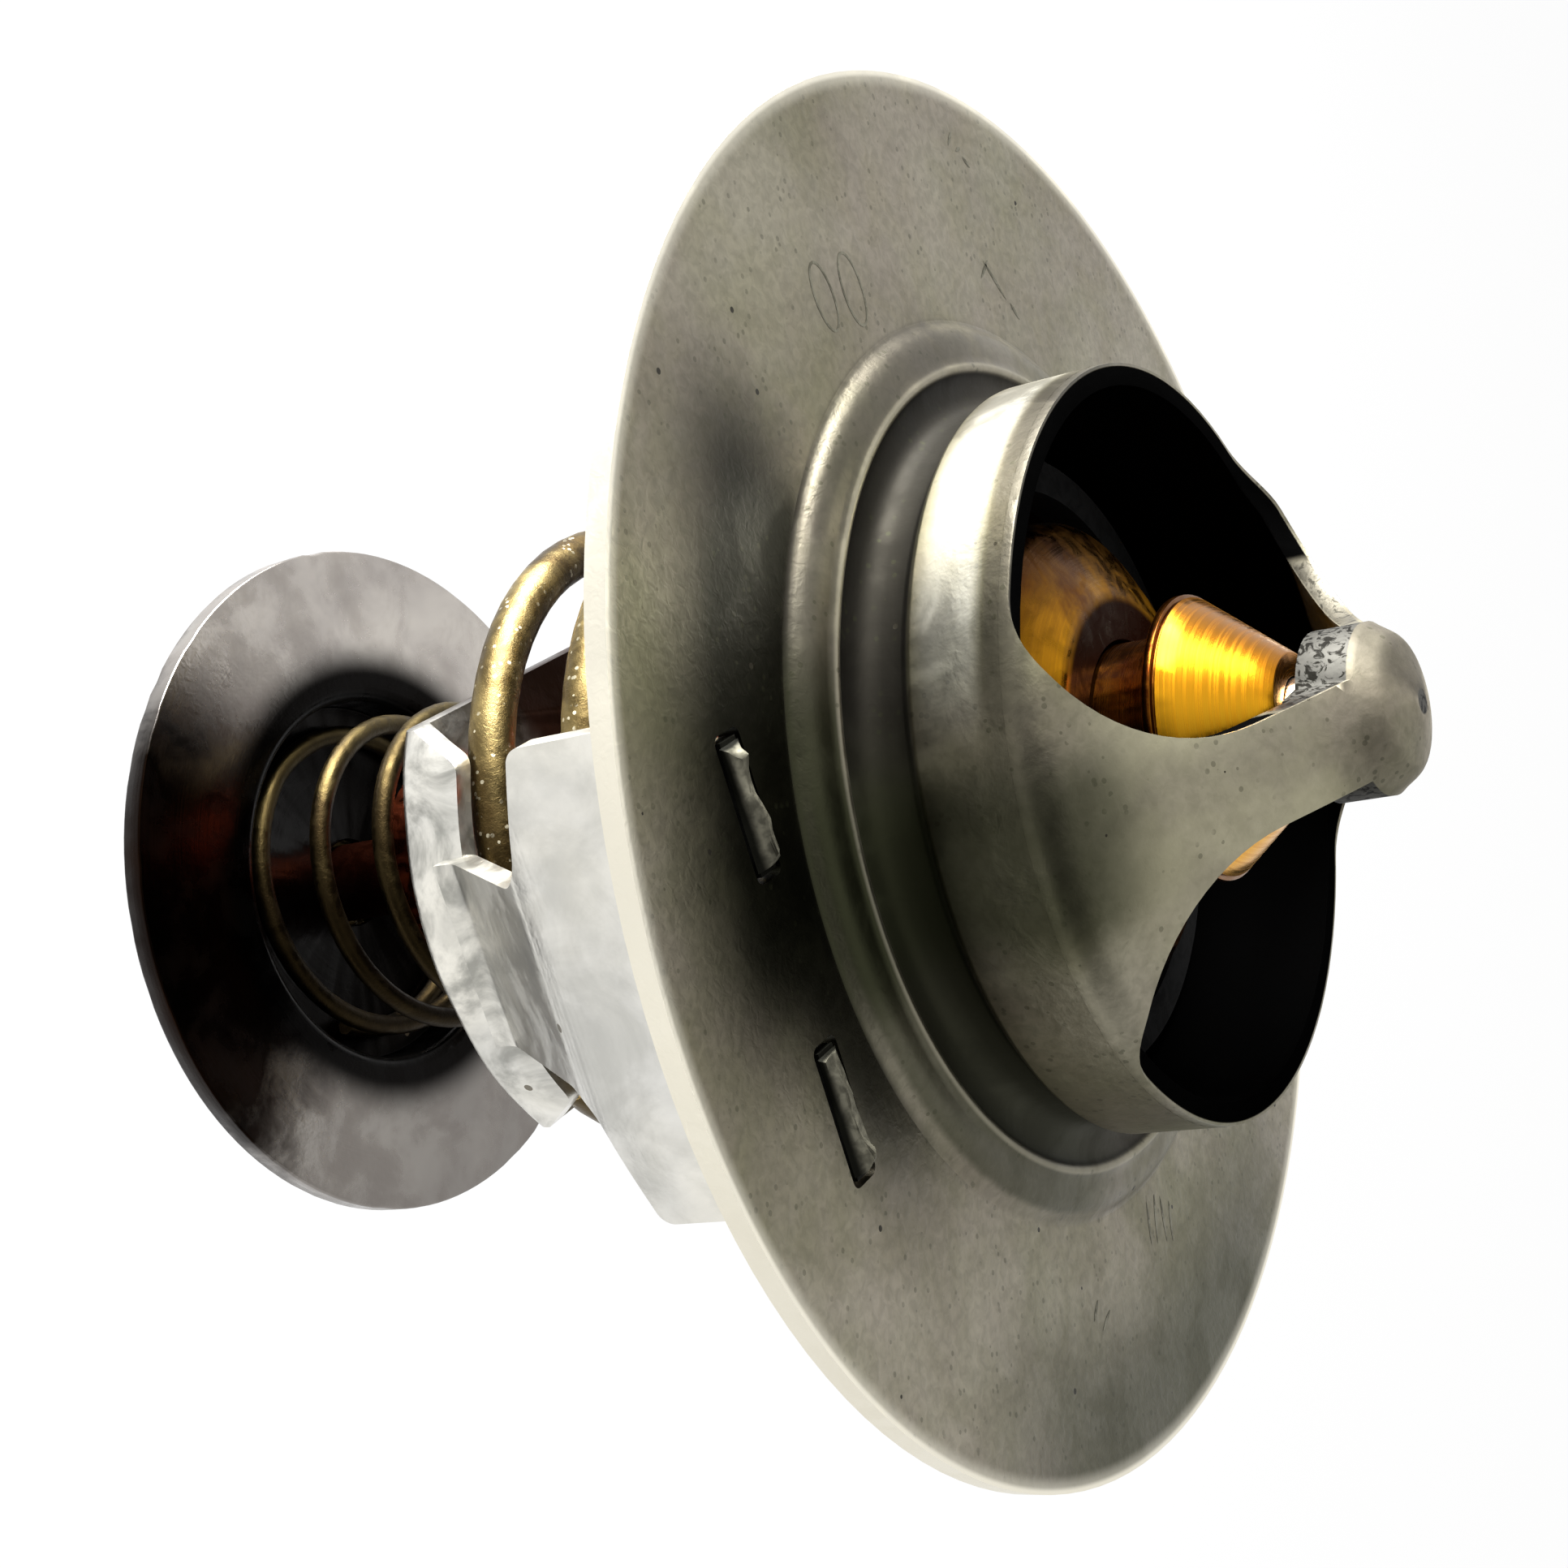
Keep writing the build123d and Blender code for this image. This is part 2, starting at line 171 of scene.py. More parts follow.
# Radius and height about the axis, lathe lines, and the cosine of the angle to a heading
def makeTurnedGroup():
    inputs = [("Size", "NodeSocketFloat", 4000.0), ("Heading", "NodeSocketVector", (1, 0, 0))]
    group, source, sink = newGroup("turned lines", inputs, ["Radius", "Height", "Lines", "Facing"])
    coords = group.nodes.new("ShaderNodeTexCoord")
    split = group.nodes.new("ShaderNodeSeparateXYZ")
    feed(coords.outputs["Object"], split.inputs[0])
    squareX = times(split.outputs[0], split.outputs[0])
    squareY = times(split.outputs[1], split.outputs[1])
    radius = maths("SQRT", maths("ADD", squareX, squareY))
    joined = group.nodes.new("ShaderNodeCombineXYZ")
    feed(radius, joined.inputs[0])
    feed(split.outputs[2], joined.inputs[1])
    lines = addNode(group, "ShaderNodeTexNoise", Detail=3.0, Roughness=0.7)
    feed(joined.outputs[0], lines.inputs["Vector"])
    feed(source.outputs["Size"], lines.inputs["Scale"])
    along = addNode(group, "ShaderNodeVectorMath", {"operation": "DOT_PRODUCT"})
    feed(coords.outputs["Object"], along.inputs[0])
    feed(source.outputs["Heading"], along.inputs[1])
    feed(radius, sink.inputs["Radius"])
    feed(split.outputs[2], sink.inputs["Height"])
    feed(span(lines.outputs[0], 0.3, 0.7), sink.inputs["Lines"])
    feed(maths("DIVIDE", along.outputs["Value"], radius), sink.inputs["Facing"])
    return group


blotchGroup = makeBlotchGroup()
pitGroup = makePitGroup()
turnedGroup = makeTurnedGroup()


def useGroup(tree, group, **values):
    node = tree.nodes.new("ShaderNodeGroup")
    node.node_tree = group
    for key, value in values.items():
        node.inputs[key].default_value = value
    return {output.name: output for output in node.outputs}


def newFinish(name, metallic, roughness):
    material = bpy.data.materials.new(name)
    material.use_nodes = True
    tree = material.node_tree
    shader = tree.nodes["Principled BSDF"]
    shader.inputs["Metallic"].default_value = metallic
    shader.inputs["Roughness"].default_value = roughness
    return material, tree, shader


def addBump(shader, height, strength, distance):
    bump = addNode(shader.id_data, "ShaderNodeBump", Strength=strength, Distance=distance)
    feed(height, bump.inputs["Height"])
    feed(bump.outputs[0], shader.inputs["Normal"])


# Colours of the stainless sheet; some dark ones are laid on as painted shade and some light ones as painted
# highlights
steel = {
    "pale": (0.335, 0.31, 0.235), "olive": (0.175, 0.165, 0.10), "mauve": (0.27, 0.225, 0.195),
    "shadeAndGrain": (0.032, 0.034, 0.018), "paintedShade": (0.006, 0.006, 0.003), "black": (0.0012, 0.0012, 0.0012),
    "torn": (0.062, 0.060, 0.053), "scar": (0.20, 0.185, 0.145), "neck": (0.050, 0.045, 0.036),
    "arm": (0.46, 0.43, 0.29), "crackAndShade": (0.008, 0.0075, 0.006), "paintedHighlight": (0.50, 0.49, 0.45),
    "edge": (0.82, 0.78, 0.66), "pit": (0.03, 0.027, 0.02),
}


def readSteel(tree):
    headings = {
        "front": (0.985, -0.17, 0), "shadedSide": (0.914, -0.407, 0), "lit": (0.5, -0.866, 0),
        "lower": (0.88, 0.47, 0), "core": (0.999, -0.035, 0), "side": (-0.17, -0.985, 0),
        "far": (-0.956, -0.292, 0), "dim": (0.1, 0.995, 0),
    }
    field = {
        "blotch": useGroup(tree, blotchGroup, Size=55.0, Warp=0.5),
        "tint": useGroup(tree, blotchGroup, Size=90.0, Warp=0.3, Shift=(0.62, 0.15, 0.33)),
        "tears": useGroup(tree, blotchGroup, Size=330.0, Warp=1.6, Shift=(0.1, 0.5, 0.3)),
        "pits": useGroup(tree, pitGroup, Size=900.0, Reach=0.13, Share=0.95)["Mask"],
        "specks": useGroup(tree, pitGroup, Size=2400.0, Reach=0.3, Share=0.75)["Mask"],
    }
    for name, heading in headings.items():
        turned = useGroup(tree, turnedGroup, Size=2600.0, Heading=heading)
        field[name] = turned["Facing"]
        if name == "front":
            field["radius"] = turned["Radius"]
            field["height"] = turned["Height"]
    return field


def tintSteel(field):
    size = {"mauve": 0.5, "olive": 0.3, "grain": 0.3}
    blotch = field["blotch"]
    colour = blend(blotch["Broad"], steel["pale"], steel["olive"])
    colour = blend(times(field["tint"]["Broad"], size["mauve"]), colour, steel["mauve"])
    colour = blend(times(blotch["Small"], size["olive"]), colour, steel["olive"])
    return blend(times(blotch["Grain"], size["grain"]), colour, steel["shadeAndGrain"])


# Painted shade on the flange face: a near-black sector on one side of the dome, darkest near the bead, and a
# dimmer sector further round
def shadeFlange(field, colour):
    size = {
        "reach": (33.5, 25.8), "top": (2.1, 1.9), "wander": 0.015, "sector": (0.80, 0.94), "amount": 0.975,
        "offBead": (21.3, 21.7), "foot": (28.5, 23.0), "footSector": (0.66, 0.92, 0.0, 0.93),
        "dim": (23.0, 31.0), "dimSector": (0.72, 0.98, 0.0, 0.75),
    }
    radius = field["radius"]
    wander = times(maths("SUBTRACT", field["tint"]["Broad"], 0.5), size["wander"])
    sector = span(maths("ADD", field["shadedSide"], wander), *size["sector"])
    offBead = band(radius, size["offBead"])
    aside = times(band(radius, size["reach"]), band(field["height"], size["top"]), sector, offBead)
    colour = blend(times(aside, size["amount"]), colour, steel["paintedShade"])
    foot = times(band(radius, size["foot"]), offBead, span(field["front"], *size["footSector"]))
    colour = blend(foot, colour, steel["paintedShade"])
    dimmed = times(band(radius, size["dim"]), span(field["dim"], *size["dimSector"]))
    return blend(dimmed, colour, steel["shadeAndGrain"])


def findGroove(field):
    size = {"outer": (19.05, 18.85), "top": (4.5, 4.1)}
    return times(band(field["radius"], size["outer"]), band(field["height"], size["top"]))


# Painted shade: the groove between bead and dome is darkened, nearly black on its lit side, and the bead's
# swell is darkened on its lit and front sides
def shadeBead(field, colour, groove):
    size = {
        "groove": 0.96, "grooveLit": (0.45, 0.9, 0.0, 0.8), "outer": (21.9, 21.5), "inner": (19.2, 19.5),
        "top": (2.6, 2.3), "swellLit": (0.5, 0.9, 0.25, 0.66), "swellFront": (0.89, 0.98, 0.0, 0.85),
    }
    radius = field["radius"]
    colour = blend(times(groove, size["groove"]), colour, steel["neck"])
    colour = blend(times(groove, span(field["lit"], *size["grooveLit"])), colour, steel["crackAndShade"])
    swell = times(band(radius, size["outer"]), band(radius, size["inner"]), band(field["height"], size["top"]))
    colour = blend(times(swell, span(field["lit"], *size["swellLit"])), colour, steel["neck"])
    return blend(times(swell, span(field["front"], *size["swellFront"])), colour, steel["shadeAndGrain"])


def shadeDome(field, colour):
    size = {
        "wall": (1.3, 1.6), "core": (0.955, 0.995, 0.0, 0.8), "coreTop": (13.5, 11.5),
        "bead": (4.3, 3.9, 0.12, 0.7), "lower": (0.55, 0.88), "lit": (0.55, 0.95),
        "sill": (7.4, 8.3, 0.0, 0.85), "sillTop": (10.4, 9.4),
        "crestOuter": (19.45, 19.3), "crestInner": (18.9, 19.05), "crestTop": (2.3, 2.1, 0.0, 0.45),
        "arm": (10.5, 13.0), "armTint": (0, 1, 0.5, 0.15), "armInner": (4.0, 6.0),
        "cheek": (5.4, 4.4), "cheekSide": (0.2, 0.8, 0.0, 0.7),
    }
    radius, height = field["radius"], field["height"]
    wall = band(height, size["wall"])
    # Painted shade: a dark sector up the dome wall, and its lower side darker towards the bead
    core = times(span(field["core"], *size["core"]), band(height, size["coreTop"]))
    colour = blend(times(wall, core), colour, steel["shadeAndGrain"])
    low = times(wall, band(height, size["bead"]), span(field["lower"], *size["lower"]))
    colour = blend(low, colour, steel["shadeAndGrain"])
    # Painted shade on the lit side of the wall below the window sills
    sill = times(band(height, size["sill"]), band(height, size["sillTop"]), span(field["lit"], *size["lit"]))
    colour = blend(sill, colour, steel["neck"])
    # Painted highlight along the bead's crest
    crest = times(band(radius, size["crestOuter"]), band(radius, size["crestInner"]))
    crest = times(crest, band(height, size["crestTop"]))
    colour = blend(crest, colour, steel["pale"])
    armTint = span(field["tint"]["Broad"], *size["armTint"])
    arm = times(band(height, size["arm"]), armTint, band(radius, size["armInner"]))
    colour = blend(arm, colour, steel["arm"])
    # Painted shade on one side of the nose knob
    cheek = times(band(radius, size["cheek"]), span(field["side"], *size["cheekSide"]))
    return blend(cheek, colour, steel["neck"])


def wearAndSheenSteel(field, colour):
    size = {
        "worn": (0.1, 0.7, 0.05, 0.4), "shine": (4.3, 5.6), "shineTop": (8.1, 7.3),
        "lit": (0.72, 0.97, 0.0, 0.6), "rim": (32.6, 33.3, 0.0, 0.4), "rimEdge": (33.15, 33.4, 0.0, 0.6),
    }
    radius, height = field["radius"], field["height"]
    colour = blend(times(field["specks"], span(field["tint"]["Small"], *size["worn"])), colour, steel["shadeAndGrain"])
    colour = blend(field["pits"], colour, steel["pit"])
    # Painted highlight on the lit side of the dome wall
    shine = times(band(height, size["shine"]), band(height, size["shineTop"]), span(field["lit"], *size["lit"]))
    colour = blend(shine, colour, steel["paintedHighlight"])
    # Painted highlight along the flange's rim
    rim = maths("ADD", band(radius, size["rim"]), band(radius, size["rimEdge"]))
    return blend(rim, colour, steel["edge"])


# Depth runs outward from a line within neck, wall, bend and cone, so one value parts the sheet's two sides
def findDepth(field):
    size = {
        "wall": 15.5, "slope": 0.6, "cone": 18.134, "coneScale": 1.166, "bend": 8.834, "bendOuter": 16.63,
        "neck": (5.4, 6.7, 14.68, 15.5), "neckTop": 6.7,
    }
    radius, height = field["radius"], field["height"]
    wallDepth = maths("SUBTRACT", radius, size["wall"] * mm)
    slope = maths("ADD", height, times(radius, size["slope"]))
    coneDepth = maths("DIVIDE", maths("SUBTRACT", slope, size["cone"] * mm), size["coneScale"])
    above = maths("SUBTRACT", height, size["bend"] * mm)
    bendDepth = maths("SQRT", maths("ADD", times(wallDepth, wallDepth), times(above, above)))
    neckDepth = maths("SUBTRACT", radius, span(height, *(limit * mm for limit in size["neck"])))
    depth = pick(maths("LESS_THAN", radius, size["bendOuter"] * mm), bendDepth, coneDepth)
    depth = pick(maths("LESS_THAN", above, 0.0), depth, wallDepth)
    return pick(maths("LESS_THAN", height, size["neckTop"] * mm), depth, neckDepth)


# Painted shade: the inner side of the sheet is painted nearly black, except where torn or scarred edges near
# the nose keep their own colours
def darkenInside(field, colour):
    size = {
        "skin": (2.10, 2.03), "throatTop": 3.0, "throatInner": 16.4, "floor": (-1.5, -1.0),
        "far": (0.970, 0.980), "farOuter": (14.6, 13.9), "farSkin": (1.12, 1.3), "ragged": 0.8,
        "torn": (7.6, 6.6), "nicks": (0.35, 0.75), "scars": (0.45, 1.0, 0.0, 0.7),
    }
    radius, height = field["radius"], field["height"]
    tears = field["tears"]["Small"]
    depth = findDepth(field)
    belowThroat = maths("LESS_THAN", height, size["throatTop"] * mm)
    throat = times(belowThroat, maths("GREATER_THAN", radius, size["throatInner"] * mm))
    inside = times(band(depth, size["skin"]), maths("SUBTRACT", 1.0, throat), band(height, size["floor"]))
    beyond = times(span(field["far"], *size["far"]), band(radius, size["farOuter"]))
    beyond = times(beyond, band(depth, size["farSkin"]))
    torn = band(maths("ADD", radius, times(field["blotch"]["Small"], size["ragged"] * mm)), size["torn"])
    nicks = blend(span(tears, *size["nicks"]), steel["torn"], steel["crackAndShade"])
    scars = blend(span(tears, *size["scars"]), steel["scar"], steel["crackAndShade"])
    colour = blend(times(inside, beyond), colour, scars)
    colour = blend(times(inside, torn), colour, nicks)
    inside = times(inside, maths("SUBTRACT", 1.0, maths("MAXIMUM", torn, beyond)))
    return blend(inside, colour, steel["black"]), inside


def makeStainless():
    size = {
        "knob": (6.5, 4.5, 0.0, 0.24), "rough": (0, 1, 0.36, 0.48), "roughInside": 0.4, "roughGroove": 0.2,
        "grain": 0.35, "flat": (1.2, 2.0, 1.0, 0.35), "dents": (5.0, 7.0, 0.0, 0.5), "bump": 0.06 * mm,
    }
    material, tree, shader = newFinish("pressedStainless", metallic=1.0, roughness=0.42)
    shader.inputs["Specular IOR Level"].default_value = 0.0
    field = readSteel(tree)
    blotch, height = field["blotch"], field["height"]
    groove = findGroove(field)
    colour = shadeFlange(field, tintSteel(field))
    colour = shadeDome(field, shadeBead(field, colour, groove))
    colour, inside = darkenInside(field, wearAndSheenSteel(field, colour))
    feed(colour, shader.inputs["Base Color"])
    knob = maths("MAXIMUM", band(field["radius"], size["knob"]), times(groove, size["roughGroove"]))
    rough = maths("MAXIMUM", times(inside, size["roughInside"]), knob)
    feed(maths("ADD", span(blotch["Small"], *size["rough"]), rough), shader.inputs["Roughness"])
    feed(maths("SUBTRACT", 1.0, inside), shader.inputs["Metallic"])
    relief = maths("SUBTRACT", times(blotch["Grain"], size["grain"]), field["pits"])
    relief = times(relief, band(height, size["flat"]))
    dents = times(field["tint"]["Small"], band(height, size["dents"]))
    addBump(shader, maths("ADD", relief, dents), strength=0.5, distance=size["bump"])
    return material


def makeZinc():
    size = {
        "pale": (0.92, 0.89, 0.80), "dull": (0.74, 0.73, 0.69), "grey": (0.40, 0.40, 0.36), "greyShare": 0.3,
        "pit": (0.2, 0.18, 0.14), "smear": (0.20, 0.20, 0.18), "smearHeight": (-16.0, -21.0, 0.15, 0.75),
        "inward": (0.35, 0.75), "deep": (-15.0, -19.0), "paintedShade": (0.035, 0.014, 0.008),
        "tab": (0.2, 0.6), "crest": (1.12, 1.45), "crestGrain": (0.1, 0.9, 0.5, 1.0),
        "tabFlank": (0.008, 0.008, 0.006), "tabCrest": (0.20, 0.19, 0.145),
        "rough": (0, 1, 0.28, 0.44), "tabRough": 0.25, "grain": 0.15, "bump": 0.08 * mm,
    }
    material, tree, shader = newFinish("brightZinc", metallic=1.0, roughness=0.35)
    blotch = useGroup(tree, blotchGroup, Size=60.0, Warp=0.3)
    pits = useGroup(tree, pitGroup, Size=700.0, Reach=0.16, Share=0.93)
    turned = useGroup(tree, turnedGroup, Size=2600.0, Heading=(-0.2, -0.98, 0))
    smear = useGroup(tree, blotchGroup, Size=38.0, Warp=2.2, Shift=(0.4, 0.2, 0.1))
    height = turned["Height"]
    colour = blend(blotch["Broad"], size["pale"], size["dull"])
    colour = blend(times(blotch["Small"], size["greyShare"]), colour, size["grey"])
    colour = blend(pits["Mask"], colour, size["pit"])
    colour = blend(times(smear["Small"], band(height, size["smearHeight"])), colour, size["smear"])
    # Painted shade on one side of the frame's lower part
    deep = times(span(turned["Facing"], *size["inward"]), band(height, size["deep"]))
    colour = blend(deep, colour, size["paintedShade"])
    # Painted shade on the flanks of the peened tabs, lighter towards their crests
    above = band(height, size["tab"])
    crest = times(band(height, size["crest"]), span(blotch["Grain"], *size["crestGrain"]))
    colour = blend(above, colour, blend(crest, size["tabFlank"], size["tabCrest"]))
    feed(colour, shader.inputs["Base Color"])
    rough = maths("ADD", span(blotch["Small"], *size["rough"]), times(above, size["tabRough"]))
    feed(rough, shader.inputs["Roughness"])
    relief = maths("ADD", blotch["Small"], times(blotch["Grain"], size["grain"]))
    addBump(shader, relief, strength=0.3, distance=size["bump"])
    return material


def makeBrass():
    size = {
        "bright": (0.74, 0.37, 0.014), "line": (0.64, 0.29, 0.010), "flank": (0.33, 0.115, 0.004),
        "flankSector": (0.45, 0.97, 0.0, 0.85), "barrel": (0.17, 0.055, 0.005), "barrelDark": (0.06, 0.014, 0.002),
        "cone": (10.30, 10.22), "grooveLow": (10.22, 10.26), "grooveTop": (10.42, 10.38),
        "groove": (0.14, 0.05, 0.006), "rough": (0, 1, 0.2, 0.3), "bump": 0.02 * mm,
    }
    material, tree, shader = newFinish("turnedBrass", metallic=1.0, roughness=0.22)
    blotch = useGroup(tree, blotchGroup, Size=220.0, Warp=1.0)
    turned = useGroup(tree, turnedGroup, Size=5200.0)
    flank = useGroup(tree, turnedGroup, Size=5200.0, Heading=(0.1, -0.995, 0))
    height = turned["Height"]
    bright = blend(turned["Lines"], size["bright"], size["line"])
    # Painted shade on one side of the turned brass
    bright = blend(span(flank["Facing"], *size["flankSector"]), bright, size["flank"])
    # Below the cone the brass is darker and browner
    barrel = blend(blotch["Small"], size["barrel"], size["barrelDark"])
    colour = blend(band(height, size["cone"]), bright, barrel)
    groove = times(band(height, size["grooveLow"]), band(height, size["grooveTop"]))
    feed(blend(groove, colour, size["groove"]), shader.inputs["Base Color"])
    feed(span(turned["Lines"], *size["rough"]), shader.inputs["Roughness"])
    addBump(shader, turned["Lines"], strength=0.06, distance=size["bump"])
    return material


def makeCopper():
    size = {
        "body": (0.17, 0.032, 0.010), "bodyDark": (0.05, 0.010, 0.005), "hub": (0.36, 0.16, 0.004),
        "hubDark": (0.09, 0.028, 0.001), "brim": (7.6, 10.6, 0.0, 0.7), "brimDark": (0.05, 0.016, 0.002),
        "line": (0.08, 0.024, 0.001), "lineShare": 0.2, "upper": (-0.5, 0.5), "nook": (7.6, 6.9),
        "nookDark": (0.009, 0.0024, 0.001), "nookMetal": (0, 1, 1.0, 0.25), "rough": (0, 1, 0.25, 0.45),
        "bump": 0.03 * mm,
    }
    material, tree, shader = newFinish("tarnishedCopper", metallic=1.0, roughness=0.35)
    shader.inputs["Specular IOR Level"].default_value = 0.0
    blotch = useGroup(tree, blotchGroup, Size=130.0, Warp=1.5)
    turned = useGroup(tree, turnedGroup, Size=3000.0)
    upper = band(turned["Height"], size["upper"])
    # Painted shadow: the hub is painted nearly black where it meets the guide
    nook = times(band(turned["Radius"], size["nook"]), upper)
    body = blend(blotch["Broad"], size["body"], size["bodyDark"])
    hub = blend(blotch["Broad"], size["hub"], size["hubDark"])
    hub = blend(band(turned["Radius"], size["brim"]), hub, size["brimDark"])
    hub = blend(times(turned["Lines"], size["lineShare"]), hub, size["line"])
    hub = blend(nook, hub, size["nookDark"])
    feed(blend(upper, body, hub), shader.inputs["Base Color"])
    feed(span(nook, *size["nookMetal"]), shader.inputs["Metallic"])
    feed(span(blotch["Small"], *size["rough"]), shader.inputs["Roughness"])
    addBump(shader, turned["Lines"], strength=0.15, distance=size["bump"])
    return material


def makeSpringSteel(name, pale, dark, fleck):
    size = {
        "underside": (-0.5, 0.05, 0.0, 0.85), "fleck": (0.62, 0.57, 0.42), "rough": (0, 1, 0.36, 0.52),
        "bump": 0.03 * mm,
    }
    material, tree, shader = newFinish(name, metallic=1.0, roughness=0.35)
    blotch = useGroup(tree, blotchGroup, Size=160.0, Warp=1.0)
    specks = useGroup(tree, pitGroup, Size=3200.0, Reach=0.33, Share=0.7)
    turned = useGroup(tree, turnedGroup, Size=2600.0, Heading=(0.2, 0.98, 0))
    colour = blend(blotch["Broad"], pale, dark)
    # Painted shade on the side facing away from the light
    colour = blend(span(turned["Facing"], *size["underside"]), colour, dark)
    colour = blend(times(specks["Mask"], times(blotch["Small"], fleck)), colour, size["fleck"])
    feed(colour, shader.inputs["Base Color"])
    feed(span(blotch["Small"], *size["rough"]), shader.inputs["Roughness"])
    addBump(shader, maths("ADD", specks["Mask"], blotch["Grain"]), strength=0.3, distance=size["bump"])
    return material


def makeDiscSteel():
    size = {
        "pale": (0.60, 0.56, 0.51), "dull": (0.40, 0.37, 0.345), "low": (0.13, 0.122, 0.112), "lowShare": 0.65,
        "film": (0.17, 0.14, 0.13), "filmShare": 0.3, "ragged": 0.1, "sector": (0.60, 0.86),
        "paintedShade": (0.014, 0.006, 0.003), "paintedShadeDark": (0.003, 0.002, 0.0015), "near": (14.0, 11.6),
        "well": (0.002, 0.0014, 0.001), "rim": (18.85, 19.1), "rimDark": (0.022, 0.019, 0.011),
        "rimMetal": (0, 1, 1.0, 0.35), "pit": (0.04, 0.03, 0.02), "rough": (0, 1, 0.2, 0.34), "bump": 0.03 * mm,
    }
    material, tree, shader = newFinish("stainedDiscSteel", metallic=1.0, roughness=0.22)
    shader.inputs["Specular IOR Level"].default_value = 0.0
    blotch = useGroup(tree, blotchGroup, Size=60.0, Warp=0.4)
    turned = useGroup(tree, turnedGroup, Size=2200.0, Heading=(0.985, -0.17, 0))
    lower = useGroup(tree, turnedGroup, Size=2200.0, Heading=(0.1, 0.995, 0))
    pits = useGroup(tree, pitGroup, Size=500.0, Reach=0.12, Share=0.93)
    colour = blend(blotch["Broad"], size["pale"], size["dull"])
    # Painted shade on one side of the disc
    colour = blend(times(span(lower["Facing"], 0, 1), size["lowShare"]), colour, size["low"])
    colour = blend(times(blotch["Small"], size["filmShare"]), colour, size["film"])
    # Painted dark reflection: a dark brown sector with a ragged edge on the side facing the front
    edge = times(maths("SUBTRACT", blotch["Small"], 0.5), size["ragged"])
    sector = span(maths("ADD", turned["Facing"], edge), *size["sector"])
    colour = blend(sector, colour, blend(blotch["Broad"], size["paintedShade"], size["paintedShadeDark"]))
    # Painted shade inside the well
    colour = blend(band(turned["Radius"], size["near"]), colour, size["well"])
    rim = band(turned["Radius"], size["rim"])
    colour = blend(rim, colour, size["rimDark"])
    feed(blend(pits["Mask"], colour, size["pit"]), shader.inputs["Base Color"])
    feed(span(rim, *size["rimMetal"]), shader.inputs["Metallic"])
    feed(span(blotch["Small"], *size["rough"]), shader.inputs["Roughness"])
    addBump(shader, maths("ADD", turned["Lines"], blotch["Grain"]), strength=0.12, distance=size["bump"])
    return material


def makePlain(name, pale, dark, metallic, low, high, scale, gloss=0.5):
    size = {"warp": 0.8, "strength": 0.15, "bump": 0.03 * mm}
    material, tree, shader = newFinish(name, metallic=metallic, roughness=low)
    shader.inputs["Specular IOR Level"].default_value = gloss
    blotch = useGroup(tree, blotchGroup, Size=scale, Warp=size["warp"])
    feed(blend(blotch["Small"], pale, dark), shader.inputs["Base Color"])
    feed(span(blotch["Small"], 0, 1, low, high), shader.inputs["Roughness"])
    addBump(shader, blotch["Grain"], strength=size["strength"], distance=size["bump"])
    return material


# Plain finishes: pale and dark colour, metallic, lowest and highest roughness, scale of the pattern
stainless = makeStainless()
zinc = makeZinc()
brass = makeBrass()
copper = makeCopper()
springSteel = makeSpringSteel("filmedSpringSteel", (0.27, 0.205, 0.085), (0.065, 0.043, 0.016), 1.0)
# A darker copy of the spring steel, as painted shade, for the bypass spring
thinSpringSteel = makeSpringSteel("shadedSpringSteel", (0.062, 0.046, 0.018), (0.018, 0.012, 0.005), 0.0)
stemSteel = makePlain("brownedStem", (0.075, 0.016, 0.006), (0.025, 0.006, 0.003), 1.0, 0.3, 0.45, 160.0)
discSteel = makeDiscSteel()
plateSteel = makePlain("plateSteel", (0.10, 0.04, 0.014), (0.03, 0.012, 0.005), 1.0, 0.3, 0.45, 120.0)
markSteel = makePlain("struckMarks", (0.20, 0.19, 0.14), (0.09, 0.085, 0.06), 1.0, 0.4, 0.55, 300.0)
groundSteel = makePlain("groundSteel", (0.58, 0.57, 0.54), (0.42, 0.41, 0.38), 1.0, 0.18, 0.3, 200.0)
rubber = makePlain(
    "blackRubber", (0.010, 0.010, 0.010), (0.006, 0.006, 0.006), 0.0, 0.75, 0.9, 200.0, gloss=0.15)
plastic = makePlain("whitePlastic", (0.78, 0.77, 0.72), (0.66, 0.65, 0.60), 0.0, 0.4, 0.5, 200.0)
wax = makePlain("wax", (0.70, 0.60, 0.38), (0.55, 0.46, 0.28), 0.0, 0.4, 0.55, 150.0)
print("finishes made")

finishOf = {
    "flange_bridge": stainless, "lower_frame": zinc, "piston": groundSteel, "thrust_disc": plastic,
    "rubber_plug": rubber, "piston_guide": brass, "wax_cup": copper, "wax_charge": wax, "diaphragm": rubber,
    "valve_plate": plateSteel, "valve_seal": rubber, "main_spring": springSteel, "bypass_stem": stemSteel,
    "spring_collar": plateSteel, "bypass_spring": thinSpringSteel, "bypass_disc": discSteel,
    "stem_clip": springSteel,
}
for name, finish in finishOf.items():
    nodes[name].data.materials.clear()
    nodes[name].data.materials.append(finish)


def newPiece(name):
    piece = bpy.data.objects.new(name, bpy.data.meshes.new(name))
    bpy.context.scene.collection.objects.link(piece)
    return piece


def finishPiece(piece, mesh, material, body, smoothAngle=40):
    mesh.to_mesh(piece.data)
    mesh.free()
    piece.data.materials.append(material)
    for face in piece.data.polygons:
        face.use_smooth = True
    piece.data.set_sharp_from_angle(angle=math.radians(smoothAngle))
    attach(piece, body)


def turnAbout(mesh, verts, angle, axis):
    bmesh.ops.rotate(mesh, verts=verts, cent=(0, 0, 0), matrix=Matrix.Rotation(angle, 3, axis))


def radiusOf(point):
    return math.hypot(point.x, point.y)


